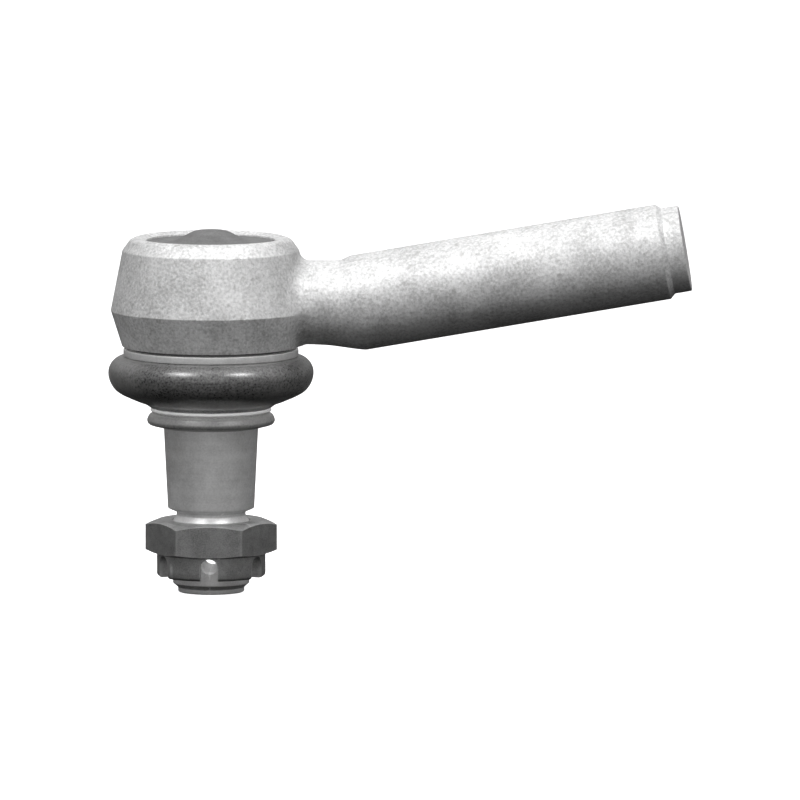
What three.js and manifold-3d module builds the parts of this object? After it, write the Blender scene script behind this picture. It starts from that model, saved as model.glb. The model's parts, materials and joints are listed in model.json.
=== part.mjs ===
// Heavy-vehicle tie rod end: a forged ball socket with a cranked shank, a tapered ball stud,
// a two-piece ball seat under a disc spring, a crimped closing cover, a rubber boot with its
// rings, and a castle nut.
//
// Millimetres. Z is the stud axis, z = 0 is the stud's lower end face, and the shank leaves
// the socket towards +X. Profiles are (radius, height) pairs turned about Z.

import * as THREE from 'three';
import { mergeVertices } from 'three/addons/utils/BufferGeometryUtils.js';
import Module from 'manifold-3d';

const wasm = await Module();
wasm.setup();

const RADIAL_SEGMENTS = 40;
const SEAT_ARC_STEPS = 6;
const DEG = Math.PI / 180;

// ---------------------------------------------------------------- driving dimensions

// Fits between neighbouring pieces
const RUNNING_GAP = 0.2; // between pieces that turn on each other
const RESTING_GAP = 0.05; // between faces that lie on each other
const FITTING_GAP = 0.2; // between rubber or rings and what they grip

// Ball stud
const THREAD_RADIUS = 12; // M24 x 1.5, at its crests
const THREAD_LENGTH = 22;
const STUD_TIP_STEP = 1.6; // tip below the thread's crests
const STUD_TIP_LENGTH = 1.5;
const STUD_TIP_CHAMFER = 1.35;
const UNDERCUT_DEPTH = 1.2;
const UNDERCUT_LENGTH = 3.3;
const CONE_ENTRY_CHAMFER = 1.2;
const CONE_LENGTH = 29;
const CONE_LARGE_RADIUS = 15;
const CONE_TAPER = 1 / 10; // change of diameter over length
const STUD_LAND_LENGTH = 5;
const STUD_SHOULDER_LENGTH = 6.5;
const STUD_WAIST_RADIUS = 9.8;
const BALL_RADIUS = 17;
const BALL_FLAT_RADIUS = 8.5;
const SWING_LIMIT = 18 * DEG;

// Cotter hole and castle nut
const COTTER_HOLE_RADIUS = 2.5;
const COTTER_HOLE_HEIGHT = 9.8;
const NUT_BOTTOM = 5;
const CROWN_HEIGHT = 7.3;
const CROWN_WALL = 4.85;
const CROWN_EDGE = 0.9;
const HEX_HEIGHT = 10.4;
const HEX_ACROSS_FLATS = 36;
const HEX_SEAT_INSET = 1.2; // seat circle inside the flats
const HEX_CHAMFER_SLOPE = 22 * DEG;
const SLOT_WIDTH = 5.5;
const SLOT_DEPTH = 7;
const SLOT_PAIRS = 3;

// Seal ring and clamp ring at the boot's lower end
const LIP_DROP = 3.6; // below the cone's large end
const LIP_HEIGHT = 5.1;
const LIP_WALL = 4.95; // from the ring's bore to its widest point
const LIP_TOP_WALL = 3.2;
const LOWER_CLAMP_THICKNESS = 0.8;
const LOWER_CLAMP_WALL = 3.8;

// Boot
const BOOT_OPEN_HEIGHT = 14.4; // lower clamp ring to the socket's neck
const BOOT_BULGE = 4.75; // past the upper clamp ring
const BOOT_WALL = 1.8;
const BOOT_COLLAR_WALL = 1.7;
const BOOT_COLLAR_HEIGHT = 3.4;
const BOOT_BEAD_HEIGHT = 2.2;
const UPPER_CLAMP_WALL = 0.8;
const UPPER_CLAMP_HEIGHT = 2.2;

// Socket
const MOUTH_CLEARANCE = 1; // between the stud at full swing and the socket's mouth
const NECK_LENGTH = 5.2; // that the boot grips, below the base face
const NECK_WALL = 7.1;
const NECK_LIP = 0.6;
const NECK_LIP_HEIGHT = 0.7;
const BASE_WALL = 1.9; // base face below the lower seat
const BASE_OVERHANG = 0.4; // base radius over the upper clamp ring
const BELT_DEPTH = 2.6; // edge between the lower cone and the drum
const BELT_WALL = 7.5; // from the cover pocket to the belt
const BELT_ROUND = 0.2;
const BELT_HEIGHT = 1.2;
const RIM_WALL = 4;
const RIM_CHAMFER_HEIGHT = 3.3;
const RIM_CHAMFER_WIDTH = 2.4;
const RIM_RISE = 1.5; // rim top over the cover
const RIM_CROWN = 0.75; // rolled top edge over the rim's chamfer
const CRIMP_OVERLAP = 3.5; // of the rim over the cover's edge
const CRIMP_TIP = 0.5;
const LEDGE_WIDTH = 2.7;
const LEDGE_LAND = 0.7;
const SEAL_GROOVE_DEPTH = 1.4;
const SEAL_RADIUS = 0.62;

// Seats, spring and cover
const SEAT_WALL = 3.6;
const SEAT_FLOOR = 2.5;
const SEAT_SPLIT = 0.8; // between the two seats at the ball's equator
const SEAT_LIP_MARGIN = 4 * DEG;
const SEAT_CROWN_LAND = 2; // seat opening over the ball's flat
const SPRING_HEIGHT = 2.7;
const SPRING_THICKNESS = 1.1;
const SPRING_INNER_RADIUS = 12;
const SPRING_EDGE_INSET = 0.8;
const COVER_THICKNESS = 2.5;
const DOME_RADIUS = 11;
const DOME_HEIGHT = 4;
const DOME_CROWN_RADIUS = 5;
const DOME_FOOT = 1.6; // width of the dome's concave foot
const DOME_WALL = 2;

// Neck and shank
const NECK_RADIUS = 13.2;
const NECK_FLARE = 4.5;
const BEND_DISTANCE = 46.5; // stud axis to the bend
const SHANK_TILT = 9.7 * DEG;
const SHANK_RADIUS = 15; // M30 x 1.5, at its crests
const SHANK_LENGTH = 103.6; // bend to end face
const SHANK_SHOULDER = 9.5; // its run before the bend
const PILOT_LENGTH = 5.4;
const PILOT_STEP = 1.45;
const SHANK_CHAMFER = 1.6;

// ---------------------------------------------------------------- heights along the stud

const CONE_BOTTOM = THREAD_LENGTH + UNDERCUT_LENGTH + CONE_ENTRY_CHAMFER;
const CONE_TOP = CONE_BOTTOM + CONE_LENGTH;
const LIP_BOTTOM = CONE_TOP - LIP_DROP;
const LIP_TOP = LIP_BOTTOM + LIP_HEIGHT;
const LOWER_CLAMP_BOTTOM = LIP_TOP + FITTING_GAP;
const LOWER_CLAMP_TOP = LOWER_CLAMP_BOTTOM + LOWER_CLAMP_THICKNESS;
const NECK_BOTTOM = LOWER_CLAMP_TOP + BOOT_OPEN_HEIGHT;
const BASE_HEIGHT = NECK_BOTTOM + NECK_LENGTH;

// ---------------------------------------------------------------- fits around the ball

const SEAT_BALL_RADIUS = BALL_RADIUS + RUNNING_GAP;
const SEAT_OUTER_RADIUS = SEAT_BALL_RADIUS + SEAT_WALL;
const BORE_RADIUS = SEAT_OUTER_RADIUS + RUNNING_GAP;
const SEAT_LIP_ANGLE = Math.asin(STUD_WAIST_RADIUS / BALL_RADIUS) + SWING_LIMIT + SEAT_LIP_MARGIN;
const SEAT_BOTTOM_DEPTH = SEAT_BALL_RADIUS * Math.cos(SEAT_LIP_ANGLE) + SEAT_FLOOR;
const SEAT_BOTTOM = BASE_HEIGHT + BASE_WALL;
const BALL_CENTRE = SEAT_BOTTOM + SEAT_BOTTOM_DEPTH;
const BORE_FLOOR = SEAT_BOTTOM - RESTING_GAP;
const CROWN_HOLE_RADIUS = BALL_FLAT_RADIUS + SEAT_CROWN_LAND;
const SEAT_TOP = BALL_CENTRE + Math.sqrt(SEAT_BALL_RADIUS ** 2 - CROWN_HOLE_RADIUS ** 2);
const SPRING_BOTTOM = SEAT_TOP + RESTING_GAP;
const COVER_BOTTOM = SPRING_BOTTOM + SPRING_HEIGHT + RESTING_GAP;
const COVER_TOP = COVER_BOTTOM + COVER_THICKNESS;
const LEDGE = COVER_BOTTOM - RESTING_GAP;
const POCKET_RADIUS = BORE_RADIUS + LEDGE_WIDTH;
const COVER_RADIUS = POCKET_RADIUS - FITTING_GAP;
const RIM_TOP = COVER_TOP + RIM_RISE;

// ---------------------------------------------------------------- the socket's neck and boot collar

// Radius that the stud's waist sweeps at a depth below the ball centre, with clearance.
function mouthRadius(depth) {
  return depth * Math.tan(SWING_LIMIT) + STUD_WAIST_RADIUS / Math.cos(SWING_LIMIT) + MOUTH_CLEARANCE;
}

const BOOT_NECK_RADIUS = mouthRadius(BALL_CENTRE - NECK_BOTTOM) + NECK_WALL;
const COLLAR_INNER_RADIUS = BOOT_NECK_RADIUS + FITTING_GAP;
const COLLAR_OUTER_RADIUS = COLLAR_INNER_RADIUS + BOOT_COLLAR_WALL;
const COLLAR_BOTTOM = NECK_BOTTOM + NECK_LIP_HEIGHT + FITTING_GAP;
const COLLAR_TOP = COLLAR_BOTTOM + BOOT_COLLAR_HEIGHT;
const UPPER_CLAMP_INNER_RADIUS = COLLAR_OUTER_RADIUS + FITTING_GAP;
const UPPER_CLAMP_OUTER_RADIUS = UPPER_CLAMP_INNER_RADIUS + UPPER_CLAMP_WALL;
const UPPER_CLAMP_BOTTOM = COLLAR_TOP - UPPER_CLAMP_HEIGHT;
const BOOT_BULGE_RADIUS = UPPER_CLAMP_OUTER_RADIUS + BOOT_BULGE;
const RING_BORE_RADIUS = CONE_LARGE_RADIUS + RUNNING_GAP;
const LOWER_CLAMP_RADIUS = RING_BORE_RADIUS + LOWER_CLAMP_WALL;

// ---------------------------------------------------------------- solids

// A solid of manifold-3d from a closed geometry of three.js.
function toSolid(geometry, matrix = new THREE.Matrix4()) {
  const positionsOnly = geometry.clone().applyMatrix4(matrix);
  positionsOnly.deleteAttribute('normal');
  positionsOnly.deleteAttribute('uv');
  const welded = mergeVertices(positionsOnly, 1e-4);
  const mesh = new wasm.Mesh({
    numProp: 3,
    vertProperties: new Float32Array(welded.attributes.position.array),
    triVerts: new Uint32Array(welded.index.array),
  });
  return new wasm.Manifold(mesh);
}

function toGeometry(solid) {
  const mesh = solid.getMesh();
  const geometry = new THREE.BufferGeometry();
  geometry.setAttribute('position', new THREE.BufferAttribute(new Float32Array(mesh.vertProperties), 3));
  geometry.setIndex(new THREE.BufferAttribute(new Uint32Array(mesh.triVerts), 1));
  geometry.computeVertexNormals();
  return geometry;
}

// LatheGeometry turns about Y, so its result is stood up along Z.
function turned(profile, segments = RADIAL_SEGMENTS) {
  const points = profile.map(([radius, height]) => new THREE.Vector2(radius, height));
  return new THREE.LatheGeometry(points, segments).rotateX(Math.PI / 2);
}

// A ring or shell: the profile runs round its section anticlockwise and closes on itself.
function turnedRing(profile, segments = RADIAL_SEGMENTS) {
  return turned([...profile, profile[0]], segments);
}

// Points of a circular arc about (0, centre), angles measured from the downward axis.
function arc(centre, radius, fromAngle, toAngle, steps) {
  const points = [];
  for (let i = 0; i <= steps; i += 1) {
    const angle = fromAngle + ((toAngle - fromAngle) * i) / steps;
    points.push([radius * Math.sin(angle), centre - radius * Math.cos(angle)]);
  }
  return points;
}

// Stands a shape that was turned about Z along the shank, with its zero at the bend.
function alongShank() {
  const turn = new THREE.Matrix4().makeRotationY(Math.PI / 2 - SHANK_TILT);
  const move = new THREE.Matrix4().makeTranslation(BEND_DISTANCE, 0, BALL_CENTRE);
  return move.multiply(turn);
}

// ---------------------------------------------------------------- ball stud

function ballStud() {
  const coneSmallRadius = CONE_LARGE_RADIUS - (CONE_LENGTH * CONE_TAPER) / 2;
  const landTop = CONE_TOP + STUD_LAND_LENGTH;
  const waistBottom = landTop + STUD_SHOULDER_LENGTH;
  const waistAngle = Math.asin(STUD_WAIST_RADIUS / BALL_RADIUS);
  const flatAngle = Math.PI - Math.asin(BALL_FLAT_RADIUS / BALL_RADIUS);
  const shoulderWidth = CONE_LARGE_RADIUS - STUD_WAIST_RADIUS;
  const tipRadius = THREAD_RADIUS - STUD_TIP_STEP;
  const undercutRadius = THREAD_RADIUS - UNDERCUT_DEPTH;
  const profile = [
    [0, 0],
    [tipRadius, 0],
    [tipRadius, STUD_TIP_LENGTH],
    [THREAD_RADIUS, STUD_TIP_LENGTH + STUD_TIP_CHAMFER],
    [THREAD_RADIUS, THREAD_LENGTH],
    [undercutRadius, THREAD_LENGTH + UNDERCUT_DEPTH],
    [undercutRadius, THREAD_LENGTH + UNDERCUT_LENGTH],
    [coneSmallRadius, CONE_BOTTOM],
    [CONE_LARGE_RADIUS, CONE_TOP],
    [CONE_LARGE_RADIUS, landTop],
    [STUD_WAIST_RADIUS + shoulderWidth * 0.4, landTop + STUD_SHOULDER_LENGTH * 0.35],
    [STUD_WAIST_RADIUS, waistBottom],
    ...arc(BALL_CENTRE, BALL_RADIUS, waistAngle, flatAngle, 12),
    [0, BALL_CENTRE + BALL_RADIUS * Math.cos(Math.PI - flatAngle)],
  ];
  const holeLength = 2 * THREAD_RADIUS + 2;
  const hole = new THREE.CylinderGeometry(COTTER_HOLE_RADIUS, COTTER_HOLE_RADIUS, holeLength, 20);
  const lift = new THREE.Matrix4().makeTranslation(0, 0, COTTER_HOLE_HEIGHT);
  return toGeometry(toSolid(turned(profile)).subtract(toSolid(hole, lift)));
}

// ---------------------------------------------------------------- castle nut

function hexPrism(acrossFlats, height) {
  const shape = new THREE.Shape();
  const cornerRadius = acrossFlats / Math.sqrt(3);
  for (let corner = 0; corner < 6; corner += 1) {
    const angle = (corner * Math.PI) / 3;
    const point = [cornerRadius * Math.cos(angle), cornerRadius * Math.sin(angle)];
    if (corner === 0) shape.moveTo(...point);
    else shape.lineTo(...point);
  }
  shape.closePath();
  return new THREE.ExtrudeGeometry(shape, { depth: height, bevelEnabled: false });
}

// A bar across the whole nut that leaves two opposite slots with round roots.
function slotBar(depth) {
  const half = SLOT_WIDTH / 2;
  const shape = new THREE.Shape();
  shape.moveTo(-half, -1);
  shape.lineTo(half, -1);
  shape.lineTo(half, depth - half);
  shape.absarc(0, depth - half, half, 0, Math.PI, false);
  shape.closePath();
  const length = 3 * HEX_ACROSS_FLATS;
  const bar = new THREE.ExtrudeGeometry(shape, { depth: length, bevelEnabled: false, curveSegments: 8 });
  return bar.translate(0, 0, -length / 2).rotateX(Math.PI / 2);
}

function castleNut() {
  const hexBottom = NUT_BOTTOM + CROWN_HEIGHT;
  const hexTop = hexBottom + HEX_HEIGHT;
  const cornerRadius = HEX_ACROSS_FLATS / Math.sqrt(3);
  const boreRadius = THREAD_RADIUS + FITTING_GAP;
  const crownRadius = boreRadius + CROWN_WALL;
  const seatRadius = HEX_ACROSS_FLATS / 2 - HEX_SEAT_INSET;
  const chamferHeight = (cornerRadius - seatRadius) * Math.tan(HEX_CHAMFER_SLOPE);
  const outer = cornerRadius + 1;
  const outerChamfer = chamferHeight + Math.tan(HEX_CHAMFER_SLOPE);
  const trim = turned([
    [0, hexBottom],
    [seatRadius, hexBottom],
    [outer, hexBottom + outerChamfer],
    [outer, hexTop - outerChamfer],
    [seatRadius, hexTop],
    [0, hexTop],
  ]);
  const crown = turned([
    [0, NUT_BOTTOM],
    [crownRadius - CROWN_EDGE, NUT_BOTTOM],
    [crownRadius, NUT_BOTTOM + CROWN_EDGE],
    [crownRadius, hexBottom + 1],
    [0, hexBottom + 1],
  ]);
  const bore = new THREE.CylinderGeometry(boreRadius, boreRadius, 3 * HEX_HEIGHT, RADIAL_SEGMENTS);
  const alongZ = new THREE.Matrix4().makeRotationX(Math.PI / 2).setPosition(0, 0, hexBottom);
  const liftHex = new THREE.Matrix4().makeTranslation(0, 0, hexBottom);
  let nut = toSolid(hexPrism(HEX_ACROSS_FLATS, HEX_HEIGHT), liftHex).intersect(toSolid(trim));
  nut = nut.add(toSolid(crown)).subtract(toSolid(bore, alongZ));
  for (let pair = 0; pair < SLOT_PAIRS; pair += 1) {
    const place = new THREE.Matrix4().makeRotationZ((pair * Math.PI) / SLOT_PAIRS);
    place.setPosition(0, 0, NUT_BOTTOM);
    nut = nut.subtract(toSolid(slotBar(SLOT_DEPTH), place));
  }
  return toGeometry(nut);
}

// ---------------------------------------------------------------- seats, spring, cover, cover seal

function lowerBallSeat() {
  const mouth = Math.max(mouthRadius(SEAT_BOTTOM_DEPTH), SEAT_BALL_RADIUS * Math.sin(SEAT_LIP_ANGLE));
  const topAngle = Math.acos(SEAT_SPLIT / 2 / SEAT_BALL_RADIUS);
  return turnedRing([
    [mouth, SEAT_BOTTOM],
    [SEAT_OUTER_RADIUS, SEAT_BOTTOM],
    [SEAT_OUTER_RADIUS, BALL_CENTRE - SEAT_SPLIT / 2],
    ...arc(BALL_CENTRE, SEAT_BALL_RADIUS, topAngle, SEAT_LIP_ANGLE, SEAT_ARC_STEPS),
  ]);
}

function upperBallSeat() {
  const crownAngle = Math.PI - Math.asin(CROWN_HOLE_RADIUS / SEAT_BALL_RADIUS);
  const bottomAngle = Math.PI - Math.acos(SEAT_SPLIT / 2 / SEAT_BALL_RADIUS);
  const roundedEdge = 1.5;
  return turnedRing([
    [SEAT_OUTER_RADIUS, BALL_CENTRE + SEAT_SPLIT / 2],
    [SEAT_OUTER_RADIUS, SEAT_TOP - roundedEdge],
    [SEAT_OUTER_RADIUS - roundedEdge, SEAT_TOP],
    ...arc(BALL_CENTRE, SEAT_BALL_RADIUS, crownAngle, bottomAngle, SEAT_ARC_STEPS),
  ]);
}

function discSpring() {
  const outerRadius = SEAT_OUTER_RADIUS - SPRING_EDGE_INSET;
  const top = SPRING_BOTTOM + SPRING_HEIGHT;
  return turnedRing([
    [outerRadius, SPRING_BOTTOM],
    [outerRadius, SPRING_BOTTOM + SPRING_THICKNESS],
    [SPRING_INNER_RADIUS, top],
    [SPRING_INNER_RADIUS, top - SPRING_THICKNESS],
  ]);
}

function closingCover() {
  const innerDomeRadius = DOME_RADIUS - DOME_WALL;
  const domeTop = COVER_TOP + DOME_HEIGHT;
  return turned([
    [0, domeTop - DOME_WALL],
    [DOME_CROWN_RADIUS * 0.7, domeTop - DOME_WALL - 0.5],
    [innerDomeRadius, COVER_BOTTOM],
    [COVER_RADIUS, COVER_BOTTOM],
    [COVER_RADIUS, COVER_TOP],
    [DOME_RADIUS, COVER_TOP],
    [DOME_RADIUS - DOME_FOOT, COVER_TOP + DOME_HEIGHT * 0.42],
    [DOME_CROWN_RADIUS, domeTop - DOME_HEIGHT * 0.12],
    [0, domeTop],
  ]);
}

function coverSealRing() {
  const centreRadius = (BORE_RADIUS + LEDGE_LAND + POCKET_RADIUS) / 2;
  const centreHeight = LEDGE - SEAL_GROOVE_DEPTH / 2;
  const section = [];
  for (let i = 0; i < 8; i += 1) {
    const angle = (i * Math.PI) / 4;
    section.push([
      centreRadius + SEAL_RADIUS * Math.cos(angle),
      centreHeight + SEAL_RADIUS * Math.sin(angle),
    ]);
  }
  return turnedRing(section);
}

// ---------------------------------------------------------------- boot and its rings

// The boot's outer line, from the clamp ring on the socket down to the lower clamp ring.
function bootLine() {
  const bottom = LOWER_CLAMP_TOP + RESTING_GAP;
  const height = UPPER_CLAMP_BOTTOM - bottom;
  const reach = BOOT_BULGE_RADIUS - UPPER_CLAMP_OUTER_RADIUS;
  const drop = BOOT_BULGE_RADIUS - LOWER_CLAMP_RADIUS;
  return new THREE.SplineCurve([
    new THREE.Vector2(UPPER_CLAMP_OUTER_RADIUS, bottom + height * 0.99),
    new THREE.Vector2(UPPER_CLAMP_OUTER_RADIUS + reach * 0.77, bottom + height * 0.86),
    new THREE.Vector2(BOOT_BULGE_RADIUS, bottom + height * 0.65),
    new THREE.Vector2(BOOT_BULGE_RADIUS - drop * 0.15, bottom + height * 0.36),
    new THREE.Vector2(BOOT_BULGE_RADIUS - drop * 0.48, bottom + height * 0.18),
    new THREE.Vector2(BOOT_BULGE_RADIUS - drop * 0.9, bottom + height * 0.08),
    new THREE.Vector2(LOWER_CLAMP_RADIUS, bottom),
  ]);
}

function dustBoot() {
  const line = bootLine();
  const steps = 12;
  const outside = [];
  const inside = [];
  for (let i = 0; i <= steps; i += 1) {
    const point = line.getPoint(i / steps);
    const tangent = line.getTangent(i / steps);
    outside.push([point.x, point.y]);
    if (i > 0 && i < steps) {
      inside.unshift([point.x + tangent.y * BOOT_WALL, point.y - tangent.x * BOOT_WALL]);
    }
  }
  const bottom = LOWER_CLAMP_TOP + RESTING_GAP;
  const section = [
    [RING_BORE_RADIUS, bottom + BOOT_BEAD_HEIGHT],
    ...inside,
    [COLLAR_INNER_RADIUS, COLLAR_BOTTOM],
    [COLLAR_INNER_RADIUS, COLLAR_TOP],
    [COLLAR_OUTER_RADIUS, COLLAR_TOP],
    [COLLAR_OUTER_RADIUS, UPPER_CLAMP_BOTTOM - RESTING_GAP],
    ...outside,
    [RING_BORE_RADIUS, bottom],
  ];
  return turnedRing(section.reverse());
}

function bootUpperClampRing() {
  return turnedRing([
    [UPPER_CLAMP_INNER_RADIUS, UPPER_CLAMP_BOTTOM],
    [UPPER_CLAMP_OUTER_RADIUS, UPPER_CLAMP_BOTTOM],
    [UPPER_CLAMP_OUTER_RADIUS, COLLAR_TOP],
    [UPPER_CLAMP_INNER_RADIUS, COLLAR_TOP],
  ]);
}

function bootLowerClampRing() {
  return turnedRing([
    [RING_BORE_RADIUS, LOWER_CLAMP_BOTTOM],
    [LOWER_CLAMP_RADIUS, LOWER_CLAMP_BOTTOM],
    [LOWER_CLAMP_RADIUS, LOWER_CLAMP_TOP],
    [RING_BORE_RADIUS, LOWER_CLAMP_TOP],
  ]);
}

function bootSealLip() {
  return turnedRing([
    [RING_BORE_RADIUS, LIP_BOTTOM],
    [RING_BORE_RADIUS + LIP_WALL * 0.93, LIP_BOTTOM + LIP_HEIGHT * 0.25],
    [RING_BORE_RADIUS + LIP_WALL, LIP_BOTTOM + LIP_HEIGHT * 0.45],
    [RING_BORE_RADIUS + LIP_WALL * 0.9, LIP_BOTTOM + LIP_HEIGHT * 0.75],
    [RING_BORE_RADIUS + LIP_TOP_WALL, LIP_BOTTOM + LIP_HEIGHT * 0.92],
    [RING_BORE_RADIUS + LIP_TOP_WALL, LIP_TOP],
    [RING_BORE_RADIUS, LIP_TOP],
  ]);
}

// ---------------------------------------------------------------- socket with neck and shank

function socketOutside() {
  const baseRadius = UPPER_CLAMP_OUTER_RADIUS + BASE_OVERHANG;
  const beltRadius = POCKET_RADIUS + BELT_WALL;
  const rimRadius = POCKET_RADIUS + RIM_WALL;
  const beltHeight = BALL_CENTRE - BELT_DEPTH;
  return turned([
    [0, NECK_BOTTOM],
    [BOOT_NECK_RADIUS + NECK_LIP, NECK_BOTTOM],
    [BOOT_NECK_RADIUS + NECK_LIP, NECK_BOTTOM + NECK_LIP_HEIGHT],
    [BOOT_NECK_RADIUS, NECK_BOTTOM + NECK_LIP_HEIGHT],
    [BOOT_NECK_RADIUS, BASE_HEIGHT],
    [baseRadius, BASE_HEIGHT],
    [beltRadius, beltHeight],
    [beltRadius + BELT_ROUND, beltHeight + BELT_HEIGHT * 0.5],
    [beltRadius + BELT_ROUND * 0.4, beltHeight + BELT_HEIGHT],
    [rimRadius, RIM_TOP - RIM_CROWN - RIM_CHAMFER_HEIGHT],
    [rimRadius - RIM_CHAMFER_WIDTH, RIM_TOP - RIM_CROWN],
    [POCKET_RADIUS, RIM_TOP],
    [0, RIM_TOP],
  ]);
}

function socketCavity() {
  const below = 1;
  const crimpRadius = POCKET_RADIUS - CRIMP_OVERLAP;
  const crimpBottom = COVER_TOP + RESTING_GAP;
  return turned([
    [0, NECK_BOTTOM - below],
    [mouthRadius(BALL_CENTRE - NECK_BOTTOM + below), NECK_BOTTOM - below],
    [mouthRadius(SEAT_BOTTOM_DEPTH), BORE_FLOOR],
    [BORE_RADIUS, BORE_FLOOR],
    [BORE_RADIUS, LEDGE],
    [BORE_RADIUS + LEDGE_LAND, LEDGE],
    [BORE_RADIUS + LEDGE_LAND, LEDGE - SEAL_GROOVE_DEPTH],
    [POCKET_RADIUS, LEDGE - SEAL_GROOVE_DEPTH],
    [POCKET_RADIUS, crimpBottom],
    [crimpRadius, crimpBottom],
    [crimpRadius, crimpBottom + CRIMP_TIP],
    [POCKET_RADIUS, RIM_TOP],
    [POCKET_RADIUS, RIM_TOP + below],
    [0, RIM_TOP + below],
  ]);
}

// The neck's axis is level, through the ball centre. Its root flares into the drum, but
// nothing of it hangs below the socket's base face, where the boot's clamp ring sits.
function neck() {
  const drumRadius = POCKET_RADIUS + BELT_WALL;
  const rootStart = BORE_RADIUS + 1;
  const profile = [
    [0, rootStart],
    [NECK_RADIUS + NECK_FLARE, rootStart],
    [NECK_RADIUS + NECK_FLARE, drumRadius - 5],
    [NECK_RADIUS + NECK_FLARE * 0.3, drumRadius - 1],
    [NECK_RADIUS, drumRadius + NECK_FLARE * 0.7],
    [NECK_RADIUS, BEND_DISTANCE],
    [0, BEND_DISTANCE],
  ];
  const place = new THREE.Matrix4().makeRotationY(Math.PI / 2).setPosition(0, 0, BALL_CENTRE);
  const size = 4 * BEND_DISTANCE;
  const above = new THREE.Matrix4().makeTranslation(0, 0, BASE_HEIGHT + size / 2);
  return toSolid(turned(profile), place).intersect(toSolid(new THREE.BoxGeometry(size, size, size), above));
}

function shank() {
  const threadEnd = SHANK_LENGTH - PILOT_LENGTH - SHANK_CHAMFER;
  const pilotRadius = SHANK_RADIUS - PILOT_STEP;
  const profile = [
    [0, -SHANK_SHOULDER],
    [NECK_RADIUS - 1.2, -SHANK_SHOULDER],
    [NECK_RADIUS + (SHANK_RADIUS - NECK_RADIUS) * 0.3, -SHANK_SHOULDER * 0.55],
    [SHANK_RADIUS - (SHANK_RADIUS - NECK_RADIUS) * 0.2, -SHANK_SHOULDER * 0.2],
    [SHANK_RADIUS, 0],
    [SHANK_RADIUS, threadEnd],
    [pilotRadius, threadEnd + SHANK_CHAMFER],
    [pilotRadius, SHANK_LENGTH],
    [0, SHANK_LENGTH],
  ];
  return toSolid(turned(profile), alongShank());
}

function tieRodHousing() {
  const outside = toSolid(socketOutside()).add(neck()).add(shank());
  return toGeometry(outside.subtract(toSolid(socketCavity())));
}

// ---------------------------------------------------------------- materials and assembly

function material(colour, roughness, metalness) {
  return new THREE.MeshStandardMaterial({ color: colour, roughness, metalness });
}

const forgedSteel = () => material(0xb9b9b6, 0.55, 0.6);
const turnedSteel = () => material(0x9c9c9a, 0.4, 0.85);
const darkSteel = () => material(0x6f6f6e, 0.5, 0.7);
const brightSteel = () => material(0xd4d4d0, 0.3, 0.9);
const springSteel = () => material(0x5c5e62, 0.4, 0.9);
const pressedSteel = () => material(0xa2a29f, 0.5, 0.7);
const seatPlastic = () => material(0xe6e3d8, 0.5, 0);
const bootRubber = () => material(0x4a4a4a, 0.6, 0);
const sealRubber = () => material(0x2a2a2a, 0.7, 0);

const pieces = [
  ['tie_rod_housing', tieRodHousing(), forgedSteel()],
  ['closing_cover', closingCover(), pressedSteel()],
  ['cover_seal_ring', coverSealRing(), sealRubber()],
  ['disc_spring', discSpring(), springSteel()],
  ['boot_upper_clamp_ring', bootUpperClampRing(), pressedSteel()],
  ['upper_ball_seat', upperBallSeat(), seatPlastic()],
  ['lower_ball_seat', lowerBallSeat(), seatPlastic()],
  ['dust_boot', dustBoot(), bootRubber()],
  ['boot_lower_clamp_ring', bootLowerClampRing(), brightSteel()],
  ['boot_seal_lip', bootSealLip(), bootRubber()],
  ['ball_stud', ballStud(), turnedSteel()],
  ['castle_nut', castleNut(), darkSteel()],
];

const group = new THREE.Group();
for (const [name, geometry, pieceMaterial] of pieces) {
  const mesh = new THREE.Mesh(geometry, pieceMaterial);
  mesh.name = name;
  group.add(mesh);
}

export default group;
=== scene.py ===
"""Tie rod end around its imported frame: fine meshes, procedural materials, studio light and camera.

Metres, in the frame of the CAD model: Z is the stud axis, z = 0 the stud's lower end face, and
the shank leaves the socket towards +X. Profiles are (radius, height) pairs in millimetres.
"""

import json
import math

import bmesh
import bpy
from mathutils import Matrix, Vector
from mathutils.geometry import delaunay_2d_cdt


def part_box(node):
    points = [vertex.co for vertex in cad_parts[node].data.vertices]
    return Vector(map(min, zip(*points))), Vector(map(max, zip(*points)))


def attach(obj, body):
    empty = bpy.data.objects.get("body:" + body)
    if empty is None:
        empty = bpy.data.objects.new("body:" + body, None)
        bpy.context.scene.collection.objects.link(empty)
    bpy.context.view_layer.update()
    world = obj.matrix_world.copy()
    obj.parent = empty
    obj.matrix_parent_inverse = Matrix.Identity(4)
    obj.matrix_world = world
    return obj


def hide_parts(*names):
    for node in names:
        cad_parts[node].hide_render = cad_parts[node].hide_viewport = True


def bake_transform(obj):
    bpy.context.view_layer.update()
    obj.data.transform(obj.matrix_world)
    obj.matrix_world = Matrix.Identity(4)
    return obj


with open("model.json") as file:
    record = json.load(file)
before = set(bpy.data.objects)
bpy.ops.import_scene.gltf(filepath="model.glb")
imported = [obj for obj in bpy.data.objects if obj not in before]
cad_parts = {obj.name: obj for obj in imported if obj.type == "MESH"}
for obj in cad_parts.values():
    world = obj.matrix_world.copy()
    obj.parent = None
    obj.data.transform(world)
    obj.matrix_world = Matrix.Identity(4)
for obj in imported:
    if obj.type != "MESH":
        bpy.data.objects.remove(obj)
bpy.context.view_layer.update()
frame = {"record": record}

MM = 0.001
AROUND = 192
record = frame["record"]
mounts = {mount["name"]: mount for mount in record["mounts"]}
joints = {joint["name"]: joint for joint in record["behaviour"]["joints"]}


# ------------------------------------------------------------------ sizes read from the frame


def low(node):
    """A node's lowest corner, in millimetres."""
    return Vector(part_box(node)[0]) / MM


def high(node):
    """A node's highest corner, in millimetres."""
    return Vector(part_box(node)[1]) / MM


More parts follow.
